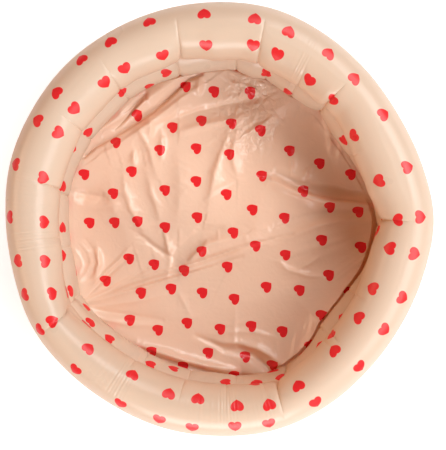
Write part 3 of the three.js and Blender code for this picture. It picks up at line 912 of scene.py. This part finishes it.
def print_floor(sheet, rest, crumpled):
    """Stores at each face corner the place in millimetres from the nearest heart, and the crumpling."""
    layer = sheet.loops.layers.float_vector.new("print")
    centres = on_floor(FLOOR_HEARTS)
    turn_cos, turn_sin = math.cos(FLOOR_HEART_TIP), math.sin(FLOOR_HEART_TIP)
    for face in sheet.faces:
        corners = rest[[vert.index for vert in face.verts]]
        nearest = int(np.argmin(np.linalg.norm(centres - corners.mean(axis=0), axis=1)))
        for loop, corner in zip(face.loops, corners):
            dx, dy = corner - centres[nearest]
            across, along = dx * turn_sin - dy * turn_cos, -(dx * turn_cos + dy * turn_sin)
            loop[layer] = (across, along, crumpled[loop.vert.index])


def make_floor(film):
    """The slack floor sheet, settled, with its folds raised again and its crumpled place."""
    sheet, order, rest = floor_grid(2 * SIM_CELLS)
    places = doubled(settled(first_heights))[order[:, 0], order[:, 1]]
    places[:, 2] = SETTLED_SHARE * places[:, 2] + RAISED_SHARE * first_heights(rest)
    places[:, 2] = laid_on_ground(places[:, 2] - LAID_DOWN, LOWEST_FILM, LAID_SOFTNESS)
    azimuth, gap, _, room = under_ring(places)
    groove = drawn(GROOVE, azimuth) * np.exp(-(np.maximum(gap, 0) / GROOVE_REACH) ** 4)
    places[:, 2] = np.clip(places[:, 2] * (1 - groove), LOWEST_FILM, room)
    middle, half_sizes = CRUMPLE
    crumpled = np.linalg.norm((rest - on_floor(middle)) / half_sizes, axis=1)
    crumpled = np.exp(-crumpled ** 4)
    for index in np.flatnonzero(crumpled > UNCRUMPLED):
        places[index, 2] += crumpled[index] * crumple_height(rest[index])
    for vert, place in zip(sheet.verts, places):
        vert.co = Vector(place) * MM
    print_floor(sheet, rest, crumpled)
    piece = finish_piece(sheet, "floor_sheet", film, "pool")


# ---- weld bands
# In millimetres: undersides of the bands, thickness of their film, height of the cross ridges and width of
# the plain margins; and the number of ridges
WELD_BASES = {"floor_weld": 0.7, "ring_weld": 98.9}
WELD_FILM = 0.5
WELD_RIDGE = 0.1
WELD_MARGIN = 1
WELD_RIDGES = 720


def make_weld(node, base, film):
    """A band of fused film, pressed by a ribbed electrode into fine cross ridges."""
    band_mesh = flat_grid(2 * WELD_RIDGES, 6, 0.5)
    for vert in band_mesh.verts:
        azimuth = (vert.co.x + 0.5) * math.tau
        offset = vert.co.y * 2 * WELD_HALF
        radius = float(ring_radius(np.array(azimuth))) + offset
        ridge = round((vert.co.x + 0.5) * 2 * WELD_RIDGES) % 2
        raised = WELD_RIDGE * ridge if abs(offset) < WELD_HALF - WELD_MARGIN else 0
        place = Vector((radius * math.cos(azimuth), radius * math.sin(azimuth), base + WELD_FILM + raised))
        vert.co = place * MM
    close_up(band_mesh)
    everything = band_mesh.faces[:] + band_mesh.edges[:] + band_mesh.verts[:]
    bmesh.ops.solidify(band_mesh, geom=everything, thickness=WELD_FILM * MM)
    bmesh.ops.recalc_face_normals(band_mesh, faces=band_mesh.faces)
    finish_piece(band_mesh, node, film, "pool")


# ---- air valves
# Outlines of the round parts, as radii and heights in millimetres in the valve's own frame
FLANGE_OUTLINE = (
    (5.3, 0.1), (9.6, 0.1), (13, 0.1), (17, 0.1), (17, 0.55), (16.2, 0.7), (15.6, 0.72), (15.3, 0.95),
    (14.7, 0.95), (14.4, 0.76), (12.9, 0.86), (12.6, 1.08), (12, 1.08), (11.7, 0.95), (9.6, 1.25),
    (8.7, 1.34), (8.5, 1.5), (8.3, 1.6), (5.5, 1.6), (5.3, 1.4),
)
STEM_OUTLINE = (
    (2.5, -16.7), (5, -16.7), (5, -15.9), (6.7, -15.9), (6.7, -14.6), (5, -14.6), (5, 1.9), (8.3, 1.9),
    (8.3, 3.3), (7.2, 3.3), (7, 3.15), (6.4, 3.15), (6.2, 3.3), (2.5, 3.3),
)
PLUG_OUTLINE = (
    (0, -1.3), (1.5, -1.3), (1.9, -0.9), (2.14, 0), (2.25, 1), (2.32, 2), (2.35, 3.6), (5.2, 3.6), (5.2, 4.6),
    (3.4, 4.6), (3.2, 4.5), (2.4, 4.5), (2.2, 4.6), (1.7, 5.1), (1.7, 5.5), (2.2, 6.2), (0, 6.2),
)
FLAP_OUTLINE = ((0, -17.5), (4.3, -17.5), (4.3, -17), (2.6, -17), (0, -17))
# Lowest and highest corners of the strap's anchor on the stem, of the strap, and of the flap's tab
ANCHOR = ((-10.8, -2.1, 1.9), (-8.2, 2.1, 3.8))
STRAP = ((-7.5, -2.1, 3.6), (-5.5, 2.1, 4.4))
FLAP_TAB = ((-1.6, 3.6, -17.5), (1.6, 5.1, -17))
# Edges that bend more than this are rounded
SHARP = math.radians(35)


def turned(piece, outline, steps=48, closed=True):
    """Adds a round solid, spun from its outline of radii and heights in millimetres."""
    verts = [piece.verts.new((radius * MM, 0, height * MM)) for radius, height in outline]
    ends = verts[1:] + verts[:1] if closed else verts[1:]
    edges = [piece.edges.new(pair) for pair in zip(verts, ends)]
    bmesh.ops.spin(piece, geom=verts + edges, axis=(0, 0, 1), angle=math.tau, steps=steps, use_merge=True)
    close_up(piece)


def block(piece, low, high):
    """Adds a block from its lowest and highest corners in millimetres."""
    low, high = Vector(low) * MM, Vector(high) * MM
    place = Matrix.Translation((low + high) / 2) @ Matrix.Diagonal((*(high - low), 1))
    bmesh.ops.create_cube(piece, size=1, matrix=place)


def softened(piece, reach, segments=2):
    """Rounds the sharp edges, as in a moulded part."""
    sharp = [edge for edge in piece.edges if edge.is_manifold and edge.calc_face_angle() > SHARP]
    bmesh.ops.bevel(
        piece, geom=sharp, offset=reach * MM, affect="EDGES", segments=segments, profile=0.5, material=-1,
        clamp_overlap=True,
    )


def make_valve(name, moulding, flap_film):
    """One air valve: flange, stem, plug, strap and check flap, made in the valve's own frame."""
    flange, stem, plug, strap, flap = (bmesh.new() for _ in range(5))
    turned(flange, FLANGE_OUTLINE, steps=72)
    for vert in flange.verts:
        vert.co.z += saddle(vert.co.x / MM, vert.co.y / MM) * MM
    turned(stem, STEM_OUTLINE)
    block(stem, *ANCHOR)
    softened(stem, 0.22)
    turned(plug, PLUG_OUTLINE, closed=False)
    softened(plug, 0.14)
    block(strap, *STRAP)
    bmesh.ops.subdivide_edges(strap, edges=strap.edges, cuts=1, use_grid_fill=True)
    softened(strap, 0.3, 4)
    turned(flap, FLAP_OUTLINE, closed=False)
    block(flap, *FLAP_TAB)
    softened(flap, 0.12)
    for part, piece, body, material, slot in (
        ("flange", flange, "pool", moulding, "valve_moulding"),
        ("stem", stem, f"{name}_stem", moulding, "valve_moulding"),
        ("plug", plug, f"{name}_plug", moulding, "valve_moulding"),
        ("strap", strap, f"{name}_plug", moulding, "valve_moulding"),
        ("flap", flap, f"{name}_flap", flap_film, "valve_flap_film"),
    ):
        bmesh.ops.transform(piece, matrix=valve_frame(name), verts=piece.verts)
        finish_piece(piece, f"{name}_valve_{part}", material, body)


# ---- light and ground
# Soft lamps: azimuth and elevation in degrees, distance and sides in metres, power in watts, and colour
LAMPS = {
    "right_softbox": (-14, 46, 3.6, (2.9, 1.9), 83, (1, 1, 1)),
    "back_softbox": (45, 50, 3.6, (2.9, 1.8), 98, (1, 1, 1)),
    "left_fill": (178, 28, 2.6, (2.0, 0.8), 22, (1, 0.66, 0.44)),
    "front_fill": (-92, 24, 2.6, (2.0, 1.0), 55, (1, 1, 1)),
}
# The room's own light, half size of the paper in metres, and how far below the pool it lies in millimetres
ROOM_LIGHT = 0.015
PAPER_REACH = 20
PAPER_DROP = 0.3


def area_light(name, azimuth, elevation, distance, sides, power, colour):
    light = bpy.data.lights.new(name, "AREA")
    light.shape = "RECTANGLE"
    light.size, light.size_y = sides
    light.energy = power
    light.color = colour
    holder = new_object(name, light)
    a, e = math.radians(azimuth), math.radians(elevation)
    away = Vector((math.cos(a) * math.cos(e), math.sin(a) * math.cos(e), math.sin(e)))
    facing = away.to_track_quat("Z", "Y").to_matrix().to_4x4()
    holder.matrix_world = Matrix.Translation(away * distance) @ facing


def make_studio():
    """White surroundings with little light of their own, soft lamps, and paper on the ground."""
    world = bpy.data.worlds.new("studio")
    bpy.context.scene.world = world
    world.use_nodes = True
    tree = world.node_tree
    tree.nodes.clear()
    seen = add(tree, "LightPath").outputs["Is Camera Ray"]
    fill = add(tree, "Background", {0: (1, 1, 1, 1), 1: ROOM_LIGHT})
    white = add(tree, "Background", {0: (1, 1, 1, 1), 1: 1.0})
    mixed = add(tree, "MixShader", {0: seen, 1: fill.outputs[0], 2: white.outputs[0]})
    add(tree, "OutputWorld", {0: mixed.outputs[0]})
    for name, lamp in LAMPS.items():
        area_light(name, *lamp)
    ground = flat_grid(1, 1, PAPER_REACH)
    for vert in ground.verts:
        vert.co.z = -PAPER_DROP * MM
    floor = finish_mesh(ground, "studio_floor", studio_paper())


make_camera()
# Calendered film of the air rings: taut, with soft broad highlights
wall_film = printed_film("calendered_pvc_wall", "#ebdac5", "#e8d4bc", 0.27, 0)
# The same film, slack on the floor: glossier, warmer, and crinkled
floor_film = printed_film("calendered_pvc_floor", "#fee3cc", "#fbdcc3", 0.14, 5)
place_hearts()
for ring_name, ring in RINGS.items():
    make_ring(ring_name, ring, wall_film)
make_floor(floor_film)
# Film layers fused by high-frequency welding: pressed thin and darker, with less gloss than the film
weld_film = plain_pvc("welded_pvc_film", "#dcb496", "#d2a685", 0.36, 1.5, 0.05)
# Soft PVC, injection moulded in a satin mould: ivory, with a fine sparked grain that breaks the highlight
moulded_pvc = plain_pvc("moulded_soft_pvc", "#efe6dc", "#e8dccf", 0.34, 0.7, 0.03)
# A disc punched from clear-white PVC film: smoother and glossier than the mouldings
punched_film = plain_pvc("punched_pvc_film", "#efe6dc", "#ece2d6", 0.22, 2.5, 0.02)
for weld, weld_base in WELD_BASES.items():
    make_weld(weld, weld_base, weld_film)
for valve in VALVES:
    make_valve(valve, moulded_pvc, punched_film)
make_studio()

scene = bpy.context.scene
scene.view_settings.view_transform = "Standard"
